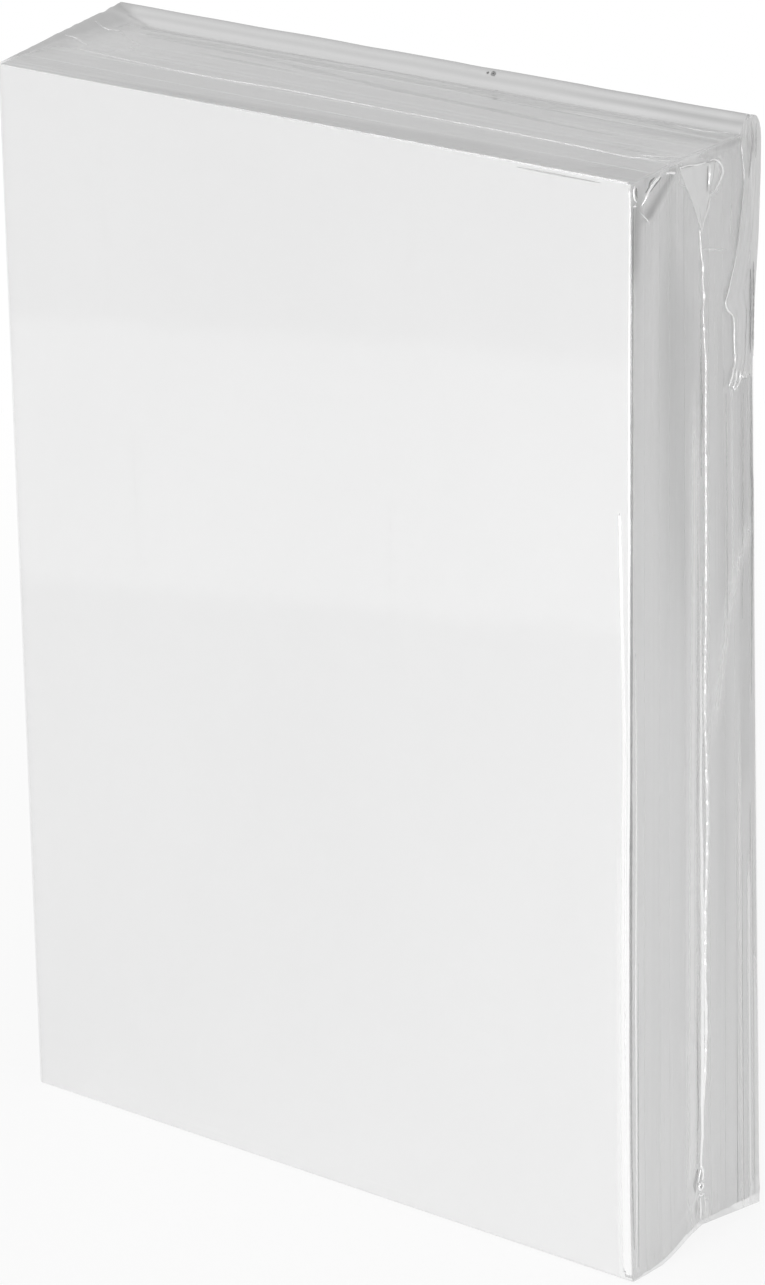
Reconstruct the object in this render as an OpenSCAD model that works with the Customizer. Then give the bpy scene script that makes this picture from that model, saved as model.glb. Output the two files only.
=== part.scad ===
// A ream of plain copy paper, sealed in clear shrink film and standing on its short end.
// X runs along the front face, Y from the front to the back and Z up, in millimetres.
// The film is one sheet, folded round the left side, heat-sealed along the other three and
// shrunk. Its folds are solid ridges on the outside of a thin, even wall.

/* [Sheets] */
// Width of a sheet
sheet_w = 210; // [148:1:297]
// Height of a sheet, which stands on its short edge
sheet_h = 297; // [210:1:420]
// Thickness of a sheet
sheet_t = 0.1; // [0.08:0.002:0.14]
// Number of sheets
sheet_count = 500; // [300:50:600]
// Sheets in a lift, the handful that was knocked up together
lift_sheets = 20; // [10:5:50]

/* [Stack] */
// Furthest that a lift sits out of line with the others
jog = 0.3; // [0:0.05:0.8]
// Extra thickness at the foot, where air lies between the sheets
foot_spread = 6.5; // [0:0.5:10]
// Width at the foot of each gap that this air opens between the sheets
air_gap = 0.5; // [0.2:0.05:1]
// Width that is left of those gaps at their top
air_gap_tip = 0.15; // [0.1:0.05:0.2]
// Height at which those gaps end
air_gap_h = 150; // [60:5:200]
// How much higher the last sheet sits than the first
back_rise = 3; // [0:0.5:6]
// How far the front bulges above the foot
belly = 1.8; // [0:0.1:4]
// Where the bulge is fullest, as a height
belly_z = 70; // [30:5:120]

/* [Film] */
// Thickness of the film
film_t = 0.1; // [0.04:0.01:0.3]
// Room between the film and the sheets that stand furthest out
film_gap = 0.05; // [0.02:0.01:0.3]
// Height of the loose ridge of film over the back top edge
ridge_h = 3.5; // [0.5:0.5:6]
// Width of that ridge
ridge_w = 5; // [2:0.5:10]
// Half width of its crest
ridge_crest = 0.6; // [0.3:0.1:0.9]
// Radius of the film where it rolls round the front top edge
edge_r = 0.4; // [0.2:0.05:0.8]

/* [Seams] */
// Side seam's distance behind the front
side_seam_y = 30.5; // [15:0.5:40]
// How far the side seam holds the film off the sheets
side_seam_lift = 1.2; // [0.2:0.1:3]
// Length over which that lift dies away at each end
side_seam_run = 30; // [10:5:80]
// Top seam's distance behind the front
top_seam_y = 15.5; // [8:0.5:30]
// How far the top seam holds the film off the sheets
top_seam_lift = 0.6; // [0.1:0.1:2]
// Radius of the melted bead on the side
side_bead_r = 0.55; // [0.2:0.05:1.2]
// Radius of the melted bead on the top
top_bead_r = 0.3; // [0.15:0.05:0.8]
// Distance between two lumps of the bead
bead_pitch = 9; // [5:1:25]

/* [Ear, pocket and rolls] */
// Drop of the gathered ear under the top edge, on the right side
ear_drop = 18.5; // [8:0.5:40]
// Width of the ear in front of the seam
ear_front = 11.5; // [4:0.5:14]
// Width of the ear behind the seam
ear_back = 4; // [2:0.5:10]
// Radius of the ear's rolled edges
ear_r = 0.5; // [0.2:0.05:1]
// Height of the small pocket behind the ear
pocket_h = 9; // [4:0.5:20]
// Width of that pocket
pocket_w = 6; // [3:0.5:8]
// Radius of the rolls at the front top corner
roll_r = 0.6; // [0.2:0.05:1.2]
// How far the longest of them starts behind the front
roll_reach = 11; // [8:0.5:16]
// How far it runs down from the top
roll_drop = 6; // [4:0.5:12]

/* [Loose flap] */
// Length of the doubled flap down the back right edge
flap_len = 62; // [30:1:120]
// How far the flap reaches forward of the back edge
flap_in = 11; // [5:0.5:18]
// How far it stands out behind the back edge
flap_out = 2.6; // [0.5:0.1:5]
// Thickness of the doubled flap
flap_t = 0.25; // [0.1:0.05:0.6]

/* [Pinched corner] */
// Height of the notch that the bottom seam pulled into the foot, at the right side
pinch_h = 5; // [1:0.5:8]
// How far the notch runs in under the foot
pinch_len = 34; // [15:1:80]
// How far it runs to the front of the side seam
pinch_front = 18; // [8:1:24]
// How far behind the side seam it keeps most of its height
pinch_behind = 8; // [4:1:12]
// Height that is left of the notch at the back edge
pinch_back_h = 1.7; // [0:0.1:3]
// Height of the knot where the two seams meet
knot_z = 15.5; // [12:0.5:30]
// Radius of the knot's ring
knot_r = 1.5; // [0.8:0.1:3]

/* [Vent holes] */
// Radius of a hole that lets the air out while the film shrinks
vent_r = 0.4; // [0.2:0.05:1]
// Distance of the pair of vent holes from the middle, towards the right
vent_x = 24; // [-60:1:60]

/* [Hidden] */
$fn = 32;

stack_t = sheet_t * sheet_count;
lifts = round(sheet_count / lift_sheets);
back_t = stack_t + foot_spread;
mid_y = (back_t - belly) / 2;
floor_z = film_gap + film_t;
side_x = sheet_w / 2 + jog + film_gap;
face_x = side_x + film_t;
top_z = sheet_h + jog;
ridge_top = top_z + back_rise + ridge_h;
steps = 7;
bulge_power = ln(0.5) / ln(belly_z / sheet_h);
heights = [for (j = [0 : steps]) sheet_h * pow(j / steps, 2)];
front_line = [for (z = heights) [z, -belly * sin(180 * pow(z / sheet_h, bulge_power))]];
thickness_line = [for (z = heights) [z, back_t - foot_spread * z / sheet_h]];

// Which lifts an air gap opens in, counted from the back, and how far into them it lies
air_gap_lifts = [4, 3, 1];
air_gap_start = 0.3;

// Distance behind the front of the place that is a share k of the way through the stack
function stack_y(k, z) = lookup(z, front_line) + k * lookup(z, thickness_line);

// Heights between two limits at which the stack's faces bend
function bends(low, high) = [for (z = heights) if (z > low && z < high) z];

// A line up through the stack at the share k, from one height to another
function lift_edge(k, low, high) = [for (z = concat([low], bends(low, high), [high])) [stack_y(k, z), z]];

function reversed(list) = [for (i = [len(list) - 1 : -1 : 0]) list[i]];
function unit(v) = v / norm(v);
function mix(a, b, t) = a * (1 - t) + b * t;

// A quadratic curve from a to c, drawn towards b
function arc(a, b, c, n) = [for (i = [0 : n]) mix(mix(a, b, i / n), mix(b, c, i / n), i / n)];

// An anticlockwise outline with each edge moved out by d
function outward(a, b) = unit([b[1] - a[1], a[0] - b[0]]);
function grown(p, d) = [for (i = [0 : len(p) - 1])
    let (last = p[(i + len(p) - 1) % len(p)],
         next = p[(i + 1) % len(p)],
         u = outward(last, p[i]),
         v = outward(p[i], next))
    p[i] + (u + v) * d / (1 + u * v)];

// Jogs of a lift along X and along Z: the first lift stands on the floor of the wrap
function jog_x(i) = jog * sin(i * 137.5);
function jog_z(i) = jog * (1 - cos(i * 97)) / 2;

// Turns a drawing of (Y, Z) so that it faces +X
module facing_right() {
    rotate([90, 0, 90]) children();
}

// Turns a drawing of (X, Z) so that it faces +Y, from y = 0
module facing_back(depth) {
    translate([0, depth, 0]) rotate([90, 0, 0]) linear_extrude(depth) children();
}

module lift(i) {
    low = back_rise * i / lifts + jog_z(i);
    high = low + sheet_h;
    front = lift_edge(i / lifts, low, high);
    back = lift_edge((i + 1) / lifts, low, high);
    translate([jog_x(i) - sheet_w / 2, 0, 0])
        facing_right() linear_extrude(sheet_w) polygon(concat(front, reversed(back)));
}

// A thin wedge of air inside a lift, open at the foot
module air_wedge(i) {
    edge = lift_edge((lifts - i + air_gap_start) / lifts, -1, air_gap_h);
    other = [for (p = edge) p + [mix(air_gap, air_gap_tip, p[1] / air_gap_h), 0]];
    translate([-sheet_w, 0, 0]) facing_right() linear_extrude(sheet_w * 2)
        polygon(concat(edge, reversed(other)));
}

// What the film's knot took out of the foot's right end, made smaller by d on every side.
// The cutter tilts about the Y axis, so that it comes to nothing pinch_len in from the side.
module pinch(d) {
    reach = pinch_len * 2;
    behind = back_t + pinch_behind;
    shoulder_h = pinch_h * 0.8;
    toe = [side_seam_y - pinch_front * 0.78, pinch_h * 0.16];
    outline = [[side_seam_y - pinch_front, -pinch_h],
               [behind, -pinch_h],
               [behind, pinch_back_h],
               [side_seam_y + pinch_behind, shoulder_h],
               [side_seam_y, pinch_h],
               [side_seam_y - pinch_behind * 0.6, shoulder_h],
               toe];
    translate([side_x, 0, 0]) rotate([0, -atan(pinch_h / pinch_len), 0])
        translate([-reach, 0, 0]) facing_right() linear_extrude(reach * 1.5)
            polygon(grown(outline, -d));
}

module paper_stack() {
    color("white") difference() {
        for (i = [0 : lifts - 1]) lift(i);
        for (i = air_gap_lifts) air_wedge(i);
        pinch(-film_gap);
    }
}

// Section of the wrap from the front to the back, drawn as (Y, Z), anticlockwise
back_edge = [for (z = heights) [stack_y(1, z), z]];
front_edge = [for (z = heights) [stack_y(0, z), z]];
last_bend = steps - 1;
wrap_section = concat(
    [for (j = [0 : last_bend]) back_edge[j]],
    [[stack_t, ridge_top - ridge_crest],
     [stack_t - ridge_crest, ridge_top],
     [stack_t - ridge_crest * 2.4, ridge_top - ridge_crest / 2],
     [stack_t - ridge_w, top_z + back_rise],
     [top_seam_y, top_z + back_rise * top_seam_y / stack_t + top_seam_lift],
     [0, top_z]],
    [for (j = [last_bend : -1 : 0]) front_edge[j]]);

// The tent of film that the side seam holds off the sheets: a roof whose ends slope away.
// Its foot lies a little inside the wall, so that its faces cut the wall cleanly.
tent_sink = 0.5;
tent_front_y = 0.7;
tent_back_y = stack_t - 0.9;
tent_low = pinch_h + 2;
tent_high = sheet_h - 3;
tent_foot = side_x - tent_sink;
tent_peak = side_x + side_seam_lift;
tent_plan = [[0, tent_front_y], [tent_foot, tent_front_y], [tent_peak, side_seam_y],
             [tent_foot, tent_back_y], [0, tent_back_y]];
tent_front = [[0, tent_low], [tent_foot, tent_low],
              [tent_peak, tent_low + side_seam_run],
              [tent_peak, tent_high - side_seam_run],
              [tent_foot, tent_high], [0, tent_high]];

// The space inside the film, made larger by d on every side
module wrap_form(d) {
    difference() {
        union() {
            translate([-side_x - d, 0, 0]) facing_right()
                linear_extrude(2 * (side_x + d)) polygon(grown(wrap_section, film_gap + d));
            intersection() {
                translate([0, 0, -1]) linear_extrude(sheet_h + 2) polygon(grown(tent_plan, d));
                facing_back(back_t + 2) polygon(grown(tent_front, d));
            }
        }
        pinch(d);
    }
}

// X of the film's face on the right side, at a place behind the front and above the foot
function tent_share(y, z) = min(1,
    (z - tent_low) / side_seam_run,
    (tent_high - z) / side_seam_run,
    (y - tent_front_y) / (side_seam_y - tent_front_y),
    (tent_back_y - y) / (tent_back_y - side_seam_y));
function side_surface(y, z) = film_t + max(side_x, tent_foot + (side_seam_lift + tent_sink) * tent_share(y, z));

// Z of the film's face on the top, at a place behind the front
ridge_foot_y = stack_t - ridge_w;
function top_surface(y) = top_z + film_gap + film_t + back_rise * y / stack_t
    + top_seam_lift * max(0, min(y / top_seam_y, (ridge_foot_y - y) / (ridge_foot_y - top_seam_y)));

// A rolled fold along a path, six-sided, with a radius at each point. up is the direction
// in which the surface under the fold faces.
module fold(path, radii, up) {
    n = len(path);
    sides = 6;
    ways = [for (i = [0 : n - 1]) unit(path[min(i + 1, n - 1)] - path[max(i - 1, 0)])];
    points = [for (i = [0 : n - 1], k = [0 : sides - 1])
        let (across = unit(cross(ways[i], up)), out = cross(across, ways[i]), a = 360 * k / sides)
        path[i] + radii[i] * (cos(a) * out + sin(a) * across)];
    walls = [for (i = [0 : n - 2], k = [0 : sides - 1])
        let (a = i * sides + k, b = i * sides + (k + 1) % sides)
        each [[a, b + sides, b], [a, a + sides, b + sides]]];
    polyhedron(points, concat([[for (k = [0 : sides - 1]) k]], walls,
        [[for (k = [sides - 1 : -1 : 0]) (n - 1) * sides + k]]));
}

// Radii of a fold that is thickest at its middle, with thin ends
thin_end = 0.35;
function tapered(r, n) = [for (i = [0 : n]) r * (thin_end + (1 - thin_end) * sin(180 * i / n))];

// A curve on the right side from a, drawn towards b, to c. Each is [behind the front, under the top].
function side_path(a, b, c, n) = [for (q = arc(a, b, c, n))
    let (z = sheet_h - q[1]) [side_surface(q[0], z), q[0], z]];

module side_fold(a, b, c, r, n = 8) {
    fold(side_path(a, b, c, n), tapered(r, n), [1, 0, 0]);
}

// A small roll of film on the right side, as a chain of balls
module roll(a, b, c, r, n = 5) {
    path = side_path(a, b, c, n);
    radii = tapered(r, n);
    for (i = [0 : n - 1])
        hull() {
            translate(path[i]) sphere(r = radii[i], $fn = 8);
            translate(path[i + 1]) sphere(r = radii[i + 1], $fn = 8);
        }
}

// The bead is a row of melted lumps: its radius swells and thins along the seam
function bead(r, n) = [for (i = [0 : n]) r * (0.75 + 0.25 * sin(i * 113) + 0.15 * sin(i * 47))];

// The side seam runs from the knot to the ear's tip, and leans forward under the ear
module side_seam() {
    low = knot_z + knot_r;
    high = sheet_h - ear_drop;
    lean = 2.1;
    bow = 0.6;
    n = round((high - low) / bead_pitch * 2);
    path = [for (i = [0 : n])
        let (t = i / n,
             z = mix(low, high, t),
             y = side_seam_y + bow * sin(180 * t) - lean * pow(t, 8))
        [side_surface(y, z), y, z]];
    fold(path, bead(side_bead_r, n), [1, 0, 0]);
}

// The top seam runs the whole width and bends back where it meets the ear
module top_seam() {
    low = 1 - face_x;
    high = side_x - 8;
    bend = 1.5;
    n = round((high - low) / bead_pitch);
    path = [for (i = [0 : n])
        let (t = i / n, y = top_seam_y + sin(180 * t) + bend * pow(t, 6))
        [mix(low, high, t), y, top_surface(y)]];
    fold(path, bead(top_bead_r, n), [0, 0, 1]);
}

// The gathered ear under the top edge: a flat doubled triangle with rolled edges. The rolls
// end a hair beside the triangle's corners, and the plate's root lies inside the wall.
module ear() {
    root = 0.2;
    tip = [side_seam_y - 2, ear_drop];
    front = [side_seam_y - ear_front, 0.4];
    back = [side_seam_y + ear_back, 1.5];
    middle = [side_seam_y - 3, 0.9];
    translate([side_x - root, 0, 0]) facing_right() linear_extrude(root + film_t + flap_t)
        polygon([for (q = [back, front, tip]) [q[0], sheet_h - q[1]]]);
    side_fold(front + [0.13, 0.2], mix(front, tip, 0.5) + [0.6, 0], tip + [0.07, 0.6], ear_r);
    side_fold(back + [-0.11, 0.15], mix(back, tip, 0.5) - [0.8, 0], tip + [0.12, 0.9], ear_r);
    side_fold(middle, mix(middle, tip, 0.5), tip + [-0.05, 0.3], ear_r * 0.6);
}

// The little pocket behind the ear: a straight roll and one that loops back under it
module pocket() {
    line_y = side_seam_y + 1.5;
    side_fold([line_y, 1.2], [line_y + 0.2, pocket_h / 2], [line_y, pocket_h], ear_r * 0.8);
    side_fold([line_y + pocket_w, pocket_h / 3], [line_y + pocket_w * 1.3, pocket_h],
        [line_y + 1, pocket_h + 1], ear_r * 0.7);
}

// Rolls where the film turns the front top corner: the long pair, a loop round the corner
// itself and a short one that leads back to the side
module corner_rolls() {
    end = [roll_reach * 0.3, roll_drop];
    roll([roll_reach, 0.1], [roll_reach * 0.5, roll_drop * 0.4], end, roll_r);
    roll([roll_reach * 1.5, 0.6], [roll_reach, 1.6], [roll_reach * 0.65, roll_drop * 0.9], roll_r * 0.8);
    roll([0.8, 0.6], [roll_reach * 0.3, roll_drop * 0.4], [roll_reach * 0.15, roll_drop * 0.8], roll_r * 0.5);
    roll(end + [-0.3, 1], end + [0.8, 3.2], end + [3, 5], roll_r * 0.5);
}

// The film rolls loosely round the front top edge, more so towards the right
module edge_roll() {
    n = 12;
    low = -sheet_w / 4;
    high = side_x - 0.7;
    path = [for (i = [0 : n]) [mix(low, high, i / n), 0.15, top_z + film_gap]];
    radii = [for (i = [0 : n]) edge_r * mix(0.45, 1, i / n)];
    fold(path, radii, [0, 0, 1]);
}

// Long, low tension folds across the film on the right side
module tension_folds() {
    low_r = ear_r * 0.5;
    knot_drop = sheet_h - knot_z;
    to_foot = knot_z * 0.8;
    side_fold([side_seam_y - 1.5, ear_drop + 2], [side_seam_y + 4.5, ear_drop + 5],
        [side_seam_y + 9.5, ear_drop + 7], low_r);
    side_fold([back_t - 6.5, sheet_h * 0.35], [side_seam_y + 11.5, sheet_h * 0.4],
        [side_seam_y + 5.5, sheet_h * 0.46], low_r, 10);
    side_fold([side_seam_y - 1, knot_drop], [side_seam_y - 10, knot_drop + to_foot / 2],
        [4, knot_drop + to_foot + 1], low_r);
    side_fold([side_seam_y + 1, knot_drop], [side_seam_y + 10, knot_drop + to_foot / 2],
        [stack_t, knot_drop + to_foot], low_r);
}

// Small folds across the film at the left end of the top
module left_folds() {
    for (y = [top_seam_y * 0.6, top_seam_y * 1.5, top_seam_y * 2.3]) {
        path = [for (q = arc([0.4 - face_x, y], [3 - face_x, y + 1], [8 - face_x, y - 2], 4))
            [q[0], q[1], top_surface(q[1])]];
        fold(path, tapered(top_bead_r, 4), [0, 0, 1]);
    }
}

// The loose doubled flap down the back right edge, with a torn lower end. Its outline is
// given as shares of its reach to either side of the back edge, and of its length.
module loose_flap() {
    back = stack_y(1, sheet_h);
    above = -ridge_h - back_rise - jog;
    crown = [[back - 2, above], [back + 0.4, above + ridge_crest]];
    outer = [[0.8, -0.04], [1, 0.01], [0.95, 0.1], [0.65, 0.42], [0.35, 0.76], [0.15, 1]];
    torn = [[0.32, 0.98], [0.64, 1.016], [0.91, 0.99]];
    inner = [[0.82, 0.935], [0.93, 0.73], [1, 0.65], [0.77, 0.42], [0.41, 0.19]];
    outline = concat(crown,
        [for (p = outer) [back + flap_out * p[0], flap_len * p[1]]],
        [for (p = concat(torn, inner)) [back - flap_in * p[0], flap_len * p[1]]]);
    translate([side_x, 0, 0]) facing_right() linear_extrude(film_t + flap_t)
        polygon([for (q = reversed(outline)) [q[0], sheet_h - q[1]]]);
}

knot_y = side_seam_y - 1;

// The knot where the side seam and the bottom seam were cut off together
module knot() {
    translate([side_surface(side_seam_y, knot_z), knot_y, knot_z])
        rotate([0, 90, 0]) rotate_extrude() translate([knot_r, 0]) circle(r = side_bead_r);
}

// Holes through the film: one in the knot's ring and a pair in the ridge over the back top edge
module vents() {
    translate([side_x - 1, knot_y, knot_z]) rotate([0, 90, 0])
        cylinder(r = vent_r, h = side_seam_lift + 3, $fn = 12);
    for (side = [-1, 1])
        translate([vent_x + side * vent_r * 2, stack_t - ridge_w * 0.7, top_z + back_rise - 1])
            rotate([-50, 0, 0]) cylinder(r = vent_r, h = ridge_h + 3, $fn = 12);
}

module shrink_film() {
    color([0.85, 0.9, 0.92, 0.35]) difference() {
        union() {
            wrap_form(film_t);
            side_seam();
            top_seam();
            ear();
            pocket();
            corner_rolls();
            edge_roll();
            tension_folds();
            left_folds();
            loose_flap();
            knot();
        }
        wrap_form(0);
        vents();
    }
}

translate([0, -mid_y, floor_z]) {
    paper_stack();
    shrink_film();
}
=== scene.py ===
"""A ream of copy paper in clear shrink film, standing on its short end in soft studio light.

Sizes in the making of the ream are millimetres, measured as X from its middle, Y from the front
sheet and Z from its foot. place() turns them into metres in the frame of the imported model.
"""
import math
import bpy
import numpy as np
from mathutils import Matrix, Vector

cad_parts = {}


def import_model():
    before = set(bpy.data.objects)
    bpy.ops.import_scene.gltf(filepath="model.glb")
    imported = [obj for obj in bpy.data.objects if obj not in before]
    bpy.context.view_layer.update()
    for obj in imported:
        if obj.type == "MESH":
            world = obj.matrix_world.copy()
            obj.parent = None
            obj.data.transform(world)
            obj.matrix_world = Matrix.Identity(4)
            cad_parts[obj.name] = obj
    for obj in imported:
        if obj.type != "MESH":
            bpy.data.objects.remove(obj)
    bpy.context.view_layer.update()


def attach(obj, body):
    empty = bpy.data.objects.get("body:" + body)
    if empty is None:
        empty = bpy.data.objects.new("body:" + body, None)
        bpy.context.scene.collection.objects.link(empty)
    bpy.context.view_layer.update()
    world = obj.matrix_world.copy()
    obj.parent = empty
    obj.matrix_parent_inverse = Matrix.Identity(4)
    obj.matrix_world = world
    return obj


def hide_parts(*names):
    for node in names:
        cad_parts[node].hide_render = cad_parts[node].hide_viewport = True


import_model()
random = np.random.default_rng(5)

# Sizes of the ream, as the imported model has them
SHEET_W = 210.0
SHEET_H = 297.0
SHEETS = 500
LIFT = 20
STACK_T = 50.0
JOG = 0.3
SPREAD = 6.5
RISE = 3.0
BELLY = 1.8
BELLY_Z = 70.0
AIR_GAP = 0.5
AIR_GAP_H = 150.0
FILM_T = 0.1
GAP = 0.05
RIDGE_W = 5.0
SEAM_Y = 30.5
SEAM_LIFT = 1.2
SEAM_RUN = 30.0
TOP_SEAM_Y = 15.5
TOP_SEAM_LIFT = 0.6
PINCH_LEN = 34.0
KNOT_Z = 15.5
VENT_X = 24.0

# How far above the foot the notch in it still lifts the film and the sheets
PULL_REACH = 14.0

# Where the film at the left end of the top starts to rise to the ridge
LEFT_TENT_X = -88.0

# How far the front sheet bulges at the right end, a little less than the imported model's all along
RIGHT_BELLY = 1.4

# How high the ridge stands at the back of the top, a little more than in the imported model
CREST_H = 4.15

LIFTS = SHEETS // LIFT
BACK_T = STACK_T + SPREAD
MID_Y = (BACK_T - BELLY) / 2
FLOOR_Z = GAP + FILM_T
SIDE_X = SHEET_W / 2 + JOG + GAP
FACE_X = SIDE_X + FILM_T
TOP_Z = SHEET_H + JOG
SKIN = GAP + FILM_T
BULGE_POWER = math.log(0.5) / math.log(BELLY_Z / SHEET_H)


def front_y(z):
    """Where the front sheet's right edge lies behind a plumb line, at a height."""
    share = np.clip(np.asarray(z, float) / SHEET_H, 0.0, 1.0)
    return -RIGHT_BELLY * np.sin(np.pi * share ** BULGE_POWER)


def stack_y(k, z, x=SHEET_W / 2):
    """Distance behind the front of the share k of the way through the stack. It bulges at the right end."""
    share = np.clip(np.asarray(z, float) / SHEET_H, 0.0, 1.0)
    rightness = np.clip(x / SHEET_W + 0.5, 0.0, 1.0)
    return front_y(z) * (1 - k) * rightness + k * (BACK_T - SPREAD * share)


def place(points):
    """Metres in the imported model's frame."""
    return (np.asarray(points, float) + (0.0, -MID_Y, FLOOR_Z)) * 0.001


def new_object(name, data):
    """An object in the scene."""
    piece = bpy.data.objects.new(name, data)
    bpy.context.scene.collection.objects.link(piece)
    return piece


def make(name, points, faces, material, smooth=True, shares=None, grey=None):
    """A mesh object. For each point, shares holds how gathered the film is, with painted highlights and
    painted shade added in, and grey how dull it is, with painted shade on the ridge.
    """
    mesh = bpy.data.meshes.new(name)
    mesh.from_pydata(place(points).tolist(), [], [tuple(int(i) for i in f) for f in faces])
    mesh.materials.append(material)
    mesh.polygons.foreach_set("use_smooth", np.broadcast_to(smooth, len(mesh.polygons)).tolist())
    for kind, values in (("gathered", shares), ("grey", grey)):
        if values is not None:
            layer = mesh.attributes.new(kind, "FLOAT", "POINT")
            layer.data.foreach_set("value", np.asarray(values, np.float32))
    mesh.update()
    return new_object(name, mesh)


class Nodes:
    """Short calls for building the nodes of a material or a world."""

    def __init__(self, owner):
        self.owner = owner
        owner.use_nodes = True
        self.tree = owner.node_tree
        self.tree.nodes.clear()

    def add(self, kind, links=(), **values):
        """A node. links are (input, output socket) pairs; values are settings, or inputs by name."""
        node = self.tree.nodes.new(kind)
        for key, value in values.items():
            if hasattr(node, key):
                setattr(node, key, value)
            else:
                node.inputs[key.replace("_", " ")].default_value = value
        for target, source in links:
            self.tree.links.new(source, node.inputs[target])
        return node

    def math(self, operation, a, b=None):
        """A Math node of two inputs, each a socket or a number."""
        node = self.add("ShaderNodeMath", operation=operation)
        for i, value in enumerate((a, b)):
            if isinstance(value, (int, float)):
                node.inputs[i].default_value = value
            elif value is not None:
                self.tree.links.new(value, node.inputs[i])
        return node.outputs[0]

    def noise(self, stretch, detail=3.0, roughness=0.5):
        """Noise over the object's own coordinates, with stretch cycles in a metre along each axis."""
        where = self.add("ShaderNodeTexCoord")
        mapped = self.add("ShaderNodeMapping", [("Vector", where.outputs["Object"])], Scale=stretch)
        node = self.add("ShaderNodeTexNoise", [("Vector", mapped.outputs[0])], Scale=1.0, Detail=detail,
                        Roughness=roughness)
        return node.outputs["Fac"]

    def spread(self, value, low, high, new_low, new_high):
        """value from the range low to high turned into new_low to new_high."""
        node = self.add("ShaderNodeMapRange", [(0, value)])
        for i, number in enumerate((low, high, new_low, new_high)):
            node.inputs[i + 1].default_value = number
        return node.outputs[0]

    def grey(self, value):
        """A grey colour."""
        node = self.add("ShaderNodeCombineColor", [("Red", value), ("Green", value), ("Blue", value)])
        return node.outputs[0]


def paper_material():
    """White uncoated paper: fine fibre in the sheet, and soft bands across the cut edges."""
    n = Nodes(bpy.data.materials.new("paper"))
    geometry = n.add("ShaderNodeNewGeometry")
    facing = n.add("ShaderNodeSeparateXYZ", [(0, geometry.outputs["True Normal"])])
    flat = n.math("ABSOLUTE", facing.outputs["Y"])
    edge = n.math("SUBTRACT", 1.0, n.math("POWER", flat, 4.0))
    broad = n.spread(n.noise((3.0, 170.0, 3.0), 2.0), 0.3, 0.7, -0.03, 0.02)
    narrow = n.spread(n.noise((8.0, 1400.0, 6.0), 3.0, 0.7), 0.3, 0.7, -0.012, 0.008)
    bands = n.math("MULTIPLY", n.math("ADD", broad, narrow), edge)
    fibre = n.spread(n.noise((900.0, 900.0, 900.0), 4.0, 0.7), 0.3, 0.7, -0.008, 0.006)
    cloud = n.spread(n.noise((14.0, 14.0, 11.0), 2.0), 0.3, 0.7, -0.006, 0.006)
    tone = n.math("ADD", n.math("ADD", bands, fibre), n.math("ADD", cloud, 0.86))
    bump = n.add("ShaderNodeBump", [("Height", n.noise((2600.0, 2600.0, 2600.0), 4.0, 0.65))],
                 Strength=0.25, Distance=0.00003)
    looks = [("Base Color", n.grey(tone)), ("Normal", bump.outputs[0])]
    shader = n.add("ShaderNodeBsdfPrincipled", looks, Roughness=0.85, Specular_IOR_Level=0.25)
    n.add("ShaderNodeOutputMaterial", [("Surface", shader.outputs[0])])
    return n.owner


def film_material(name, haze, rough, wave, gloss):
    """Clear film, which mirrors more at a glance. Film in many layers is milky and mirrors more, and a
    positive gathered share that marks a light line is partly a painted highlight. A negative share, where
    gathered is below nothing, is painted shade: it darkens what shows through and dims the mirror, as the
    shaded gap under a crease would."""
    n = Nodes(bpy.data.materials.new(name))
    bump = n.add("ShaderNodeBump", [("Height", n.noise((120.0, 260.0, 60.0), 3.0, 0.6))],
                 Strength=wave, Distance=0.0002)
    weight = n.add("ShaderNodeLayerWeight", [("Normal", bump.outputs[0])], Blend=0.5)
    share = n.add("ShaderNodeAttribute", attribute_name="gathered").outputs["Fac"]
    # Positive shares are layers of film and painted highlights; negative shares are painted shade
    layers_and_painted_highlight = n.math("MAXIMUM", share, 0.0)
    painted_shade = n.math("MAXIMUM", n.math("MULTIPLY", share, -1.0), 0.0)
    glance = n.math("MULTIPLY", n.math("POWER", weight.outputs["Facing"], 4.5), 0.9)
    mirror = n.math("ADD", n.math("MULTIPLY", layers_and_painted_highlight, 0.22), n.math("ADD", glance, 0.06))
    mirror = n.math("MULTIPLY", mirror, n.math("SUBTRACT", 1.0, n.math("MULTIPLY", painted_shade, 0.8)))
    clear = n.math("SUBTRACT", 0.99, n.math("MULTIPLY", painted_shade, 0.4))
    through = n.add("ShaderNodeBsdfTransparent", [("Color", n.grey(clear))])
    grey_and_painted_shade = n.add("ShaderNodeAttribute", attribute_name="grey").outputs["Fac"]
    milk = n.add("ShaderNodeBsdfDiffuse", [("Color", n.grey(n.math("SUBTRACT", 0.96, grey_and_painted_shade)))])
    milky = n.math("MINIMUM", n.math("ADD", n.math("MULTIPLY", layers_and_painted_highlight, 0.75), haze), 1.0)
    body = n.add("ShaderNodeMixShader", [(0, milky), (1, through.outputs[0]), (2, milk.outputs[0])])
    shine = n.add("ShaderNodeBsdfGlossy", [("Normal", bump.outputs[0])], Roughness=rough,
                  Color=(gloss, gloss, gloss, 1.0))
    mixed = n.add("ShaderNodeMixShader", [(0, mirror), (1, body.outputs[0]), (2, shine.outputs[0])])
    n.add("ShaderNodeOutputMaterial", [("Surface", mixed.outputs[0])])
    return n.owner


def seen_directly(n):
    """1 for camera, glossy and transmission rays, else 0."""
    path = n.add("ShaderNodeLightPath")
    seen = n.math("MAXIMUM", path.outputs["Is Camera Ray"], path.outputs["Is Glossy Ray"])
    return n.math("MAXIMUM", seen, path.outputs["Is Transmission Ray"])


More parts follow.
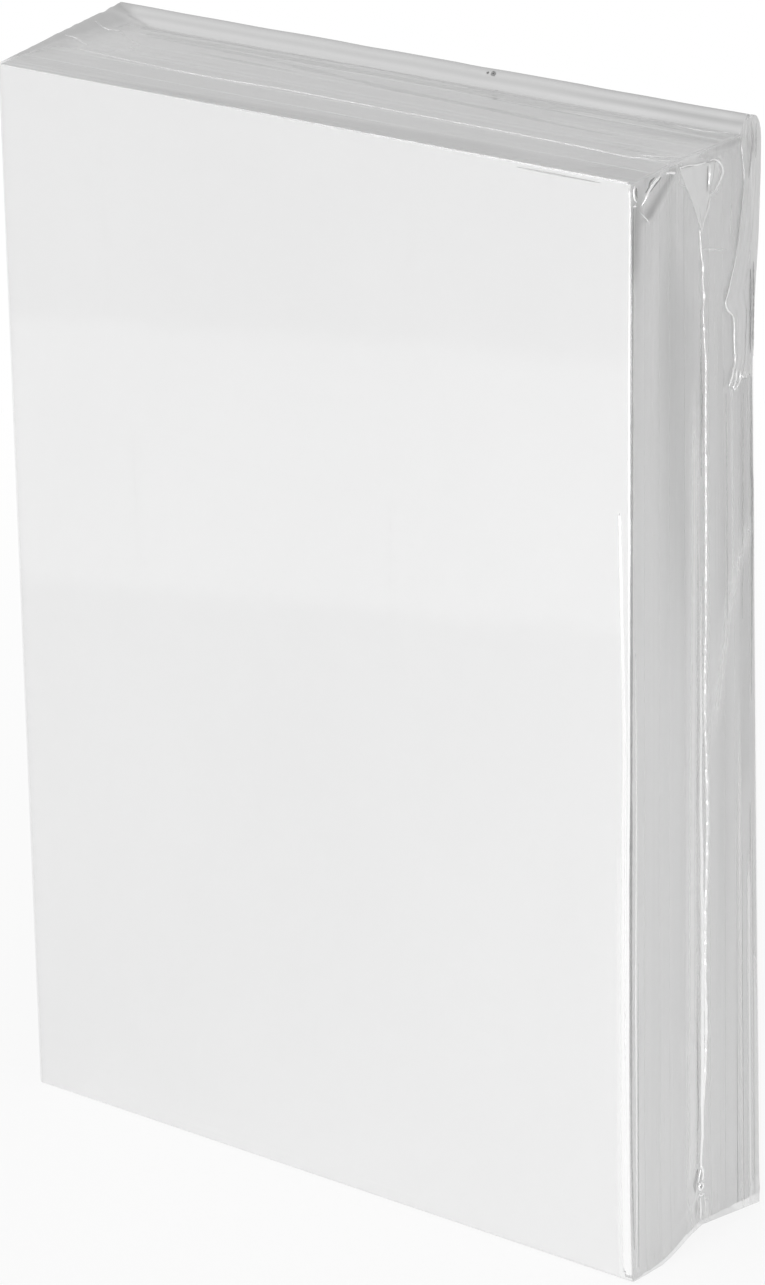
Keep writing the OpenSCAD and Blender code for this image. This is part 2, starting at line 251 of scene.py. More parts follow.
def floor_material():
    """A pale floor that fades to plain white away from the object and keeps the shadow near it."""
    n = Nodes(bpy.data.materials.new("floor"))
    where = n.add("ShaderNodeTexCoord")
    away = n.add("ShaderNodeVectorMath", [(0, where.outputs["Object"])], operation="LENGTH")
    share = n.spread(away.outputs["Value"], 0.15, 0.7, 0.9, 1.0)
    pale = n.add("ShaderNodeBsdfDiffuse", Color=(0.85, 0.85, 0.85, 1.0))
    white = n.add("ShaderNodeEmission", Strength=1.0)
    seen = n.math("MULTIPLY", seen_directly(n), share)
    mixed = n.add("ShaderNodeMixShader", [(0, seen), (1, pale.outputs[0]), (2, white.outputs[0])])
    n.add("ShaderNodeOutputMaterial", [("Surface", mixed.outputs[0])])
    return n.owner


# Film relief. A fold is (points, height, width): points are two coordinates on a face of the
# wrap, in millimetres, and a negative height is a crease.
def fold_height(u, v, points, height, width):
    """Height that a fold along a line of points gives at (u, v), dying away at its ends."""
    points = np.asarray(points, float)
    starts = points[:-1]
    ways = points[1:] - starts
    lengths = np.hypot(*ways.T)
    along_total = lengths.sum()
    best = np.full(u.shape, 1e9)
    along = np.zeros(u.shape)
    walked = 0.0
    for start, way, length in zip(starts, ways, lengths):
        t = np.clip(((u - start[0]) * way[0] + (v - start[1]) * way[1]) / length ** 2, 0.0, 1.0)
        far = np.hypot(u - start[0] - t * way[0], v - start[1] - t * way[1])
        nearer = far < best
        best = np.where(nearer, far, best)
        along = np.where(nearer, walked + t * length, along)
        walked += length
    ends = np.sin(np.pi * np.clip(along / along_total, 0.02, 0.98)) ** 0.5
    return height * ends * np.exp(-(best / width) ** 2)


def waves(u, v, count, u_length, v_length, seed):
    """Soft random swells between -1 and 1, of about these wave lengths."""
    draws = np.random.default_rng(seed)
    total = np.zeros(u.shape)
    for _ in range(count):
        fu, fv = draws.normal(0, 1 / u_length), draws.normal(0, 1 / v_length)
        total += np.sin(2 * np.pi * (fu * u + fv * v + draws.random()))
    return total / math.sqrt(count)


SIDE_FOLDS = [
    ([(2.9, 291.2), (3.8, 293.0), (5.2, 295.1), (10.9, 297.2)], 0.9, 0.8),
    ([(9.0, 291.5), (13.0, 294.2), (17.3, 296.4)], 0.6, 0.9),
    ([(6.4, 288.0), (10.1, 291.1), (14.6, 293.5)], -0.5, 1.4),
    ([(2.7, 289.6), (6.4, 286.3)], 0.4, 0.5),
    ([(17.7, 297.0), (24.2, 285.0), (27.6, 279.0)], 0.3, 1.6),
    ([(32.2, 288.0), (30.1, 283.3), (27.8, 279.3)], 0.35, 0.9),
    ([(29.2, 274.6), (34.5, 272.8), (38.9, 271.6)], 0.12, 0.7),
    ([(49.8, 194.0), (42.4, 180.0), (35.0, 161.0)], 0.25, 1.2),
    ([(28.1, 208.0), (28.0, 150.0), (28.2, 90.0)], 0.2, 0.5),
    ([(29.5, 17.0), (20.0, 11.0), (6.0, 2.0)], 0.45, 1.5),
    ([(29.5, 17.0), (40.0, 11.0), (52.0, 3.5)], 0.4, 1.5),
    ([(26.0, 60.0), (24.5, 42.0), (27.5, 24.0)], 0.3, 1.2),
    ([(2.4, 3.0), (1.2, 60.0), (1.6, 120.0), (2.2, 190.0)], 0.22, 0.5),
    ([(41.5, 290.0), (39.0, 262.0), (38.0, 225.0)], -0.35, 2.2),
    ([(12.0, 285.0), (10.0, 250.0), (11.0, 200.0)], -0.3, 3.5),
    ([(20.0, 262.0), (17.0, 200.0), (20.0, 110.0)], 0.3, 3.0),
    ([(37.0, 215.0), (39.0, 150.0), (38.0, 60.0)], 0.3, 3.0),
]

TOP_FOLDS = [
    ([(-60.0, 5.5), (0.0, 5.0), (60.0, 7.5), (96.0, 10.0)], -0.35, 2.6),
    ([(-104.0, 3.0), (-40.0, 2.2), (60.0, 2.4), (104.0, 3.0)], -0.2, 0.9),
    ([(-70.0, 27.0), (-20.0, 30.0), (50.0, 26.0)], 0.3, 3.0),
    ([(-10.0, 36.0), (40.0, 33.0), (95.0, 31.0)], -0.3, 3.0),
    ([(-95.0, 42.0), (-40.0, 43.0), (10.0, 44.0)], 0.3, 0.7),
    ([(-25.0, 43.5), (5.0, 42.8), (30.0, 43.6)], 0.3, 0.6),
    ([(45.0, 42.5), (70.0, 43.2), (92.0, 41.0)], -0.3, 0.7),
    ([(55.0, 40.0), (80.0, 40.5), (100.0, 38.5)], 0.25, 0.8),
    ([(-104.0, 34.0), (-99.0, 36.0), (-92.0, 33.0)], 0.4, 1.0),
    ([(-104.0, 22.0), (-98.0, 23.0), (-92.0, 21.0)], 0.35, 1.0),
    ([(-103.0, 45.0), (-96.0, 43.0), (-90.0, 44.0)], 0.5, 1.2),
    ([(92.0, 12.0), (99.0, 16.0), (104.0, 20.0)], 0.4, 1.0),
    ([(84.0, 20.0), (96.0, 22.0), (104.0, 19.0)], -0.35, 1.2),
    ([(88.0, 4.0), (97.0, 8.0), (104.0, 7.0)], 0.35, 1.1),
]


# Painted highlights and painted shade on the film, as soft light and dark lines, see shades(). Those of
# the top run along X, the others along Z. The ridge's rows paint its grey, the others its gathered share.
TOP_PAINTED_SHADING = [
    (([-105, 0, 105], [40.6, 40.8, 40.4]), -60, 10, 25, 0.8, -0.12),
    (([-105, 0, 105], [38.6, 39.0, 38.4]), -30, 100, 25, 0.8, 0.12),
    (([-105, 0, 105], [20.0, 21.0, 21.5]), -60, 100, 20, 0.9, -0.12),
    (([-20, 60, 105], [33.0, 33.5, 37.0]), 0, 100, 30, 3.5, -0.20),
    (([40, 105], [29.0, 31.0]), 60, 105, 20, 2.5, 0.15),
    (([60, 105], [7.0, 8.0]), 70, 105, 20, 6.0, 0.10),
    (([60, 105], [25.0, 24.0]), 97, 106, 10, 8.0, 0.40),
    (([-105, 105], [28.0, 26.0]), -104, 70, 25, 22.0, 0.25),
    (([-105, -60], [26.0, 26.0]), -105, -88, 20, 12.0, 0.35),
]
RIDGE_PAINTED_SHADING = [
    (([-105, 105], [49.5, 49.5]), -105, 105, 5, 1.2, -0.07),
    (([-105, 105], [48.8, 48.8]), 70, 105, 40, 0.5, -0.12),
    (([-105, 105], [47.8, 47.8]), -98, 100, 6, 0.5, 0.13),
    (([-105, 105], [47.1, 47.1]), 80, 105, 40, 0.5, -0.18),
    (([-105, 0, 105], [46.4, 46.3, 45.9]), -90, 100, 20, 0.5, 0.11),
    (([-105, 105], [44.8, 44.6]), -95, 70, 20, 1.4, 0.22),
    (([-105, -90], [47.0, 47.0]), -105, -101, 2, 2.0, -0.12),
]
SIDE_PAINTED_SHADING = [
    (([156, 211, 264, 297], [21.1, 19.3, 15.9, 15.0]), 205, 275, 45, 7.0, -0.22),
    (([0, 100, 156, 211], [20.4, 20.4, 21.1, 20.5]), 20, 190, 25, 1.8, -0.10),
    (([20, 49, 100, 145, 200, 235], [22.4, 22.9, 23.2, 23.6, 24.1, 24.3]), 25, 222, 20, 1.5, 0.6),
    (([0, 297], [36.0, 36.0]), 110, 230, 40, 3.5, -0.10),
    (([0, 297], [45.0, 46.0]), 130, 232, 10, 3.0, -0.16),
    (([0, 297], [20.0, 20.0]), 0, 30, 40, 30.0, 0.22),
    (([0, 297], [28.0, 28.0]), 278, 298, 20, 20.0, 0.22),
    (([280, 297], [25.0, 24.0]), 292, 298, 3, 8.0, 0.4),
    (([286.5, 296.5], [6.6, 17.6]), 287, 296, 1.5, 2.6, -0.75),
    (([266, 290], [0.4, 1.9]), 277, 289, 9, 2.2, -0.55),
    (([240, 284, 297], [7.0, 10.0, 14.0]), 255, 290, 20, 3.0, 0.2),
    (([285, 294], [34.3, 34.6]), 286, 293, 1.5, 2.2, 0.4),
    (([269, 275, 283], [43.5, 44.5, 45.9]), 270, 283, 5, 1.5, -0.28),
    (([0, 10], [49.5, 49.5]), 1.5, 7.0, 3, 3.4, 0.6),
    (([8, 26], [24.0, 24.6]), 4, 17, 6, 1.0, 0.4),
    (([4, 24], [33.5, 32.5]), 8, 22, 6, 1.6, 0.12),
    (([4, 16], [26.9, 26.9]), 4, 9, 3, 0.8, -0.35),
    (([4, 16], [28.8, 28.8]), 3, 9, 3, 0.9, 0.5),
    (([0, 100], [43.3, 42.8]), 8, 130, 20, 0.5, 0.6),
    (([0, 100], [46.4, 46.6]), 8, 95, 10, 0.6, 1.1),
    (([7, 60], [48.7, 48.6]), 8, 70, 8, 0.9, 0.65),
    (([7, 60], [49.9, 49.7]), 8, 60, 8, 0.7, 0.6),
    (([7, 100], [51.7, 51.4]), 8, 80, 10, 0.6, 0.35),
    (([180, 230], [40.5, 40.3]), 185, 232, 8, 0.6, 0.4),
    (([145, 155, 162, 177, 184, 191, 196], [31.9, 34.1, 35.6, 38.9, 42.4, 46.2, 50.1]),
     150, 194, 8, 2.0, 0.5),
    (([200, 230], [48.6, 48.5]), 204, 230, 4, 0.8, 0.30),
    (([268, 285], [40.8, 40.9]), 272, 280, 4, 0.5, 0.28),
]
SIDE_TOP_PAINTED_SHADING = [
    (([27, 33, 41, 46], [297.1, 296.7, 296.3, 296.5]), 29, 45, 3, 1.3, -0.42),
]
FRONT_PAINTED_SHADING = [
    (([0, 297], [-104.9, -104.9]), 0, 297, 5, 0.8, -0.12),
    (([0, 150], [102.6, 102.6]), 0, 100, 40, 1.4, 0.30),
]


def tent(y, z):
    """How far the side seam holds the film off, beyond the wall's own place."""
    low, high = 7.0, SHEET_H - 3
    front, back = 0.7, STACK_T - 0.9
    share = np.minimum.reduce([
        np.ones_like(y),
        (z - low) / SEAM_RUN,
        (high - z) / SEAM_RUN,
        (y - front) / (SEAM_Y - front),
        (back - y) / (back - SEAM_Y)])
    return np.maximum(0.0, (SEAM_LIFT + 0.5) * share - 0.5)


def side_relief(y, z):
    """Relief of the film on the right side, outward."""
    total = tent(y, z)
    for fold in SIDE_FOLDS:
        total = total + fold_height(y, z, *fold)
    swell = np.clip(total + 0.3, 0.0, 1.0)
    total = total + 0.10 * waves(y, z, 10, 9.0, 160.0, 3) * swell
    total = total + 0.05 * waves(y, z, 12, 4.0, 30.0, 4) * swell
    return np.clip(total, 0.0, 2.2)


def top_relief(x, y):
    """Relief of the film on the top, upward."""
    ridge_foot = STACK_T - RIDGE_W
    roof = np.minimum(y / TOP_SEAM_Y, (ridge_foot - y) / (ridge_foot - TOP_SEAM_Y))
    total = TOP_SEAM_LIFT * np.maximum(0.0, roof)
    for fold in TOP_FOLDS:
        total = total + fold_height(x, y, *fold)
    total = total + 0.08 * waves(x, y, 10, 90.0, 7.0, 6) * np.clip(total + 0.2, 0.0, 1.0)
    total = np.maximum(total, 0.0)
    climb = np.clip((y - ridge_foot) / (RIDGE_W - 1.4), 0.0, 1.0)
    crest = np.clip((STACK_T + SKIN - y) / 1.2, 0.0, 1.0)
    sway = 1.0 + 0.05 * waves(x, 0 * y, 5, 60.0, 1.0, 8)
    ridge = np.minimum(CREST_H * climb ** 1.25 * sway, CREST_H) * (0.9 + 0.1 * crest)
    end = np.clip((LEFT_TENT_X - x) / (LEFT_TENT_X + FACE_X), 0.0, 1.0) ** 1.6
    drape = CREST_H * np.clip(y / (STACK_T - 1.4), 0.0, 1.0) * end * (1 + 0.05 * waves(x, y, 8, 6.0, 9.0, 9))
    return np.maximum(total + ridge, drape)


PINCH_Y = [12.5, 16.5, 25.7, 30.5, 38.5, 56.5, 60.0]
PINCH_Z = [0.0, 0.8, 4.0, 5.0, 4.0, 1.7, 1.6]


def pinch(x, y):
    """Height of the notch that the bottom seam pulled into the foot's right end."""
    ramp = np.clip((x - (SIDE_X - PINCH_LEN)) / PINCH_LEN, 0.0, 1.0)
    return np.interp(y, PINCH_Y, PINCH_Z) * ramp


def skin_surface(x, y, z, out):
    """A point of the film from its place on a straight box and the way it faces there."""
    k = y / STACK_T
    rise = RISE * np.clip(k, 0.0, 1.0) * np.clip(z / TOP_Z, 0.0, 1.0)
    points = np.stack([x, stack_y(k, z, x), z + rise], axis=-1)
    points[..., 0] += np.clip(out[..., 0], 0, 1) * side_relief(y, z)
    points[..., 2] += np.clip(out[..., 2], 0, 1) * top_relief(x, y)
    pull = pinch(points[..., 0], points[..., 1])
    share = np.clip(1.0 - (points[..., 2] + SKIN) / PULL_REACH, 0.0, 1.0)
    points[..., 2] += pull * share
    return points


def on_side(y, z, lift=0.0):
    """Points on the film's right side, lift outside it."""
    y, z = np.asarray(y, float), np.asarray(z, float)
    k = (y - front_y(z)) / (stack_y(1, z) - front_y(z))
    flat = k * STACK_T
    return np.stack([FACE_X + side_relief(flat, z) + lift, y, z], axis=-1)


def on_top(x, y, lift=0.0):
    """Points on the film's top, lift above it."""
    x, y = np.asarray(x, float), np.asarray(y, float)
    rise = RISE * np.clip(y / STACK_T, 0.0, 1.0)
    return np.stack([x, y, TOP_Z + SKIN + rise + top_relief(x, y) + lift], axis=-1)


def graded(length, low_reach, low_step, step, high_reach, high_step):
    """Places of grid lines from 0 to length, closer together near the ends and closest near the high one."""
    rim = np.array([0.0, 0.1, 0.22, 0.34])
    low = np.arange(0.45, low_reach, low_step)
    middle = np.arange(low_reach, length - high_reach, step)
    high = np.arange(length - high_reach, length - 5.0, high_step)
    last = np.arange(length - 5.0, length - 0.5, 0.33)
    return np.concatenate([rim, low, middle, high, last, length - rim[::-1]])


def box_grid(lines):
    """Surface points and faces of a box whose edges are cut at these lines, as whole-number places."""
    counts = [len(a) for a in lines]
    cells = []
    for axis in range(3):
        u, v = (axis + 1) % 3, (axis + 2) % 3
        i, j = np.meshgrid(np.arange(counts[u] - 1), np.arange(counts[v] - 1), indexing="ij")
        for end in (0, counts[axis] - 1):
            corners = []
            for di, dj in ((0, 0), (1, 0), (1, 1), (0, 1)):
                spot = np.zeros(i.shape + (3,), int)
                spot[..., axis] = end
                spot[..., u] = i + di
                spot[..., v] = j + dj
                corners.append(spot.reshape(-1, 3))
            if end == 0:
                corners.reverse()
            cells.append(np.stack(corners, axis=1))
    cells = np.concatenate(cells)
    key = (cells[..., 0] * counts[1] + cells[..., 1]) * counts[2] + cells[..., 2]
    unique, first, faces = np.unique(key, return_index=True, return_inverse=True)
    return cells.reshape(-1, 3)[first], faces.reshape(-1, 4)


def hump(value, low, high, soft):
    """1 between two limits, falling softly to 0 over the width soft outside them."""
    return np.clip((value - low) / soft + 1, 0, 1) * np.clip((high - value) / soft + 1, 0, 1)


def shades(u, v, rows):
    """Soft light and dark lines from rows of (places along and across, low, high, fade, width, share)."""
    total = np.zeros_like(u)
    for line, low, high, soft, width, share in rows:
        total += share * hump(u, low, high, soft) * np.exp(-((v - np.interp(u, *line)) / width) ** 2)
    return total


def skin_shares(x, y, z, out):
    """How gathered and how grey the skin is at each place. It is milky where it stands off the sheets,
    and painted highlights and painted shade are added in as soft lines.
    """
    up = np.clip(out[:, 2], 0, 1)
    right = np.clip(out[:, 0], 0, 1)
    fore = np.clip(-out[:, 1], 0, 1)
    high = np.clip(z - TOP_Z + 1.0, 0, 1)
    ridge = np.clip((y - STACK_T + RIDGE_W + 3.0) / 4.0, 0, 1) * high
    end = np.clip((-FACE_X + 1.5 + y * 0.2 - x) / 3.0, 0, 1) * high * np.clip(y / 8.0, 0, 1)
    loose = np.maximum(ridge, end)
    reach = np.interp(x, [-105, -40, 30, 105], [1.0, 3.5, 8.0, 13.0])
    # A band of painted shade just behind the front top edge, deepest in the middle of its length
    edge_shade_depth = np.interp(x, [-100, -40, 60, 90], [0.0, -0.28, -0.28, -0.20])
    painted_edge_shade = edge_shade_depth * hump(y, 0.8, 1.0 + reach * 0.6, 1.0 + reach * 0.4)
    # The tables add painted highlights and painted shade; the ridge's rows paint its grey
    top = up * (painted_edge_shade + shades(x, y, TOP_PAINTED_SHADING)) * (1 - loose)
    side = right * (shades(z, y, SIDE_PAINTED_SHADING) + shades(y, z, SIDE_TOP_PAINTED_SHADING))
    front = fore * shades(z, x, FRONT_PAINTED_SHADING)
    grey_and_painted_shade = np.interp(x, [40, 75], [0.33, 0.27]) - shades(x, y, RIDGE_PAINTED_SHADING)
    return 1.3 * loose + top + side + front + 0.5 * up * right, loose * grey_and_painted_shade


def film_skin(material):
    """The film itself: one closed skin round the sheets, rounded where it turns an edge."""
    low = np.array([-FACE_X, -SKIN, -SKIN])
    high = np.array([FACE_X, STACK_T + SKIN, TOP_Z + SKIN])
    size = high - low
    lines = [graded(size[0], 14, 1.4, 4.0, 24, 0.9),
             graded(size[1], 4, 0.5, 0.6, 6, 0.5),
             graded(size[2], 22, 1.2, 2.8, 42, 0.85)]
    spots, faces = box_grid(lines)
    straight = np.stack([low[a] + lines[a][spots[:, a]] for a in range(3)], axis=1)
    radius = 0.4
    core = np.clip(straight, low + radius, high - radius)
    out = straight - core
    out /= np.linalg.norm(out, axis=1, keepdims=True)
    rounded = core + out * radius
    points = skin_surface(rounded[:, 0], rounded[:, 1], rounded[:, 2], out)
    shares, grey = skin_shares(*rounded.T, out)
    return make("film_skin", points, faces, material, shares=shares, grey=grey)


def curve(points, step):
    """Evenly spaced points on a smooth line through the given ones."""
    points = np.asarray(points, float)
    if len(points) == 2:
        points = np.array([points[0], points.mean(axis=0), points[1]])
    ends = np.concatenate([[2 * points[0] - points[1]], points, [2 * points[-1] - points[-2]]])
    t = np.linspace(0, 1, 24, endpoint=False)[:, None]
    parts = []
    for a, b, c, d in zip(ends, ends[1:], ends[2:], ends[3:]):
        parts.append(0.5 * (2 * b + (c - a) * t + (2 * a - 5 * b + 4 * c - d) * t ** 2
                            + (3 * b - a - 3 * c + d) * t ** 3))
    dense = np.concatenate(parts + [points[-1:]])
    walked = np.concatenate([[0], np.cumsum(np.linalg.norm(np.diff(dense, axis=0), axis=1))])
    count = max(3, int(walked[-1] / step) + 1)
    even = np.linspace(0, walked[-1], count)
    return np.stack([np.interp(even, walked, dense[:, a]) for a in range(dense.shape[1])], axis=1)


def tube(path, radii, up, flat=1.0, sides=10):
    """Points and faces of a closed tube. flat squashes it towards the surface that it lies on."""
    path, radii = np.asarray(path, float), np.asarray(radii, float)
    ways = np.gradient(path, axis=0)
    ways /= np.linalg.norm(ways, axis=1, keepdims=True)
    across = np.cross(ways, up)
    across /= np.linalg.norm(across, axis=1, keepdims=True)
    rise = np.cross(across, ways)
    angle = np.arange(sides) * 2 * np.pi / sides
    wide, high = np.cos(angle)[None, :, None], np.sin(angle)[None, :, None] * flat
    hoop = across[:, None] * wide + rise[:, None] * high
    points = (path[:, None] + hoop * radii[:, None, None]).reshape(-1, 3)
    faces = []
    for i in range(len(path) - 1):
        for s in range(sides):
            a, b = i * sides + s, i * sides + (s + 1) % sides
            faces.append((a, b, b + sides, a + sides))
    first, last = len(points), len(points) + 1
    points = np.concatenate([points, path[:1], path[-1:]])
    for s in range(sides):
        a, b = s, (s + 1) % sides
        faces.append((b, a, first))
        base = (len(path) - 1) * sides
        faces.append((base + a, base + b, last))
    return points, faces


def joined(name, parts, material):
    """One mesh object from (points, faces, gathered share) parts."""
    points, faces, shares, base = [], [], [], 0
    for part_points, part_faces, share in parts:
        points.append(part_points)
        faces.extend(tuple(i + base for i in f) for f in part_faces)
        shares.append(np.broadcast_to(share, len(part_points)))
        base += len(part_points)
    return make(name, np.concatenate(points), faces, material, shares=np.concatenate(shares))


def lumps(count, rough, seed):
    """Factors about 1 that swell and thin along a seam."""
    draws = np.random.default_rng(seed)
    t = np.arange(count)
    total = np.zeros(count)
    for length in (34.0, 15.0, 7.0, 3.4):
        swell = np.sin(2 * np.pi * (t / length * (1 + 0.3 * draws.random()) + draws.random()))
        total += swell * draws.uniform(0.5, 1)
    return np.clip(1 + rough * total / 2, 0.25, 2.0)


def taper(count, thin=0.25):
    """Factors that thin a fold out at both ends."""
    return thin + (1 - thin) * np.sin(np.pi * np.linspace(0, 1, count)) ** 0.6


def along(values, count):
    """One value, or several that change evenly along a line, at each of its count points."""
    values = np.atleast_1d(np.asarray(values, float))
    return np.interp(np.linspace(0, 1, count), np.linspace(0, 1, len(values)), values)


def strand(path, radii, up, flat, sides, share):
    """A tube with its gathered share, which is one value or several along it."""
    share = along(share, len(path))
    return (*tube(path, radii, up, flat, sides), np.concatenate([np.repeat(share, sides), share[[0, -1]]]))


def side_roll(points, radius, lift=0.1, rough=0.25, seed=1, flat=0.7, step=0.5, share=0.8, sides=10):
    """A rolled fold on the right side. points are (behind the front, above the foot)."""
    line = curve(points, step)
    path = on_side(line[:, 0], line[:, 1], lift)
    radii = along(radius, len(line)) * taper(len(line)) * lumps(len(line), rough, seed)
    return strand(path, radii, (1.0, 0.0, 0.0), flat, sides, share)


def top_roll(points, radius, seed, share):
    """A rolled fold on the top. points are (right of the middle, behind the front)."""
    line = curve(points, 0.8)
    path = on_top(line[:, 0], line[:, 1], 0.05)
    radii = radius * taper(len(line)) * lumps(len(line), 0.25, seed)
    return (*tube(path, radii, (0.0, 0.0, 1.0), 0.7, 10), share)


# The side seam's bead and the second ridge beside it, as (behind the front, above the foot)
BEAD = [
    (27.1, 280.0), (27.5, 273.1), (27.7, 270.8), (27.6, 266.7), (28.2, 261.4), (27.9, 257.8),
    (28.3, 249.8), (28.7, 246.0), (28.8, 232.7), (29.0, 215.0), (29.0, 200.0), (28.9, 180.3),
    (28.7, 154.5), (29.0, 143.4), (29.4, 133.6), (29.6, 118.3), (29.5, 106.0), (29.2, 96.8),
    (29.3, 89.0), (29.1, 79.1), (29.5, 70.4), (29.7, 60.0), (29.3, 49.1), (28.8, 40.0),
]
TWIN = [
    (27.1, 186.0), (27.1, 154.9), (27.1, 128.8), (27.5, 113.4), (27.7, 99.3), (28.0, 90.8),
    (28.1, 65.2), (28.0, 50.8), (27.9, 41.7), (28.1, 30.0), (28.5, 22.0),
]

# Heights of the bright lumps on the bead
LUMP_HEIGHTS = [270.0, 262.5, 254.0, 174.0, 166.0, 158.5, 149.5, 142.0, 134.0, 121.0, 105.0, 97.0, 84.0,
                73.0, 60.0, 48.0]


def side_bead(material):
    """The melted bead of the side seam: a broken row of lumps from the ear's tip to the knot."""
    parts = [
        side_roll(BEAD, [0.6, 0.45, 0.5, 0.5, 0.5, 0.5, 0.6, 0.75, 0.95, 1.1], 0.3, 0.3, 22, 1.0, 0.5,
                  [0.8, 0.6, 0.8, 0.6, 0.5, 0.7, 1.1, 1.7, 2.5, 2.8]),
        side_roll(TWIN, [0.3, 0.42, 0.5, 0.62, 0.8, 1.0], 0.4, 0.1, 24, 1.1, 0.6,
                  [0.4, 0.8, 1.2, 1.5, 2.5, 2.8]),
        # Two dark lines beside the bead, with negative shares: painted shade
        side_roll([(27.3, 259.0), (27.3, 250.0), (27.5, 240.0), (27.6, 215.0)], 0.38, 0.1, 0.3, 26, 0.4, 0.8,
                  [-0.1, -0.5, -0.5, -0.25]),
        side_roll([(26.2, 215.0), (26.2, 193.0), (26.3, 155.0), (26.3, 127.0), (26.6, 108.0), (26.7, 60.0),
                   (26.8, 39.8), (27.2, 24.0)], 0.3, 0.1, 0.15, 27, 0.4, 0.8,
                  [-0.1, -0.25, -0.15, -0.2, 0.0, 0.0, -0.5, -0.5]),
    ]
    draws = np.random.default_rng(23)
    ys, zs = np.array(BEAD[::-1]).T
    for z in LUMP_HEIGHTS:
        y = np.interp(z, zs, ys)
        reach = draws.uniform(1.2, 2.4)
        parts.append(side_roll([(y, z - reach), (y + draws.uniform(-0.2, 0.3), z), (y, z + reach)],
                               draws.uniform(0.4, 0.55), 0.35, 0.1, 1, 0.8, 0.4, 1.8))
    return joined("film_side_bead", parts, material)


def top_bead(material):
    """The finer bead of the top seam."""
    line = curve([(-94.0, 18.2), (-79.0, 17.4), (-48.0, 15.9), (-14.0, 17.0), (19.0, 16.9), (71.0, 15.9),
                  (92.0, 15.0), (99.5, 15.4), (104.3, 17.5)], 0.7)
    count = len(line)
    radii = 0.3 * lumps(count, 0.25, 31) * taper(count, 0.4)
    bead = strand(on_top(line[:, 0], line[:, 1], 0.05), radii, (0.0, 0.0, 1.0), 0.6, 10,
                  [0.2, 0.2, 0.15, 0.2, 0.4])
    return joined("film_top_bead", [bead], material)


# Milky strands of gathered film down the front's right edge, which paint its bright highlight, from the
# top down: (distances right of the middle, heights, radii, gathered shares, seed).
EDGE_STRANDS = [
    ([104.9, 104.8, 105.0, 105.1, 104.75, 104.65, 104.6], [296.0, 242.0, 200.0, 140.0, 110.0, 60.0, 1.0],
     [0.36, 0.38, 0.45, 0.65, 0.75], [1.1, 1.2, 1.5, 2.4, 2.6], 51),
    ([101.9, 102.2, 103.0, 103.5, 103.3, 103.2, 103.2], [212.0, 200.0, 171.0, 150.0, 125.0, 60.0, 1.0],
     [0.3, 0.5, 0.65, 0.7, 0.7], [0.8, 2.4, 2.6], 52),
]

# Long fine lines down the right side, the dark ones painted shade and the light ones painted highlights,
# from the top down: (places behind the front, heights, radii, gathered shares, seed).
SIDE_PAINTED_LINES = [
    ([0.5, 0.1, -0.35, -0.85, -1.0, -0.9, -0.2, 0.2], [291.0, 255.0, 200.0, 128.0, 56.0, 38.0, 18.0, 8.0],
     [0.5, 0.5, 0.5, 0.5], [-0.6, -0.55, -0.5, -0.62, -0.5, -0.4], 91),
    ([1.1, 1.2, 0.9, 1.2, 1.1], [175.0, 127.0, 80.0, 50.0, 2.0], [0.3, 0.4, 0.42], [0.4, 1.1, 1.7, 1.7], 92),
    ([2.1, 2.0, 2.0], [90.0, 50.0, 2.0], 0.3, [-0.1, -0.3, -0.35], 90),
    ([47.0, 47.1], [232.0, 170.0], 0.3, -0.25, 99),
    ([51.0, 51.2], [119.0, 98.0], 0.22, -0.3, 96),
    ([39.2, 39.3, 39.4], [234.0, 200.0, 168.0], 0.28, -0.3, 86),
    ([50.3, 50.5, 50.7, 51.2, 51.3, 51.3, 51.4], [237.0, 226.0, 211.0, 206.0, 187.0, 165.0, 146.0],
     [0.5, 0.6, 0.55, 0.4, 0.35, 0.3], [-0.4, -0.5, -0.5, -0.4, -0.35, -0.2], 85),
]
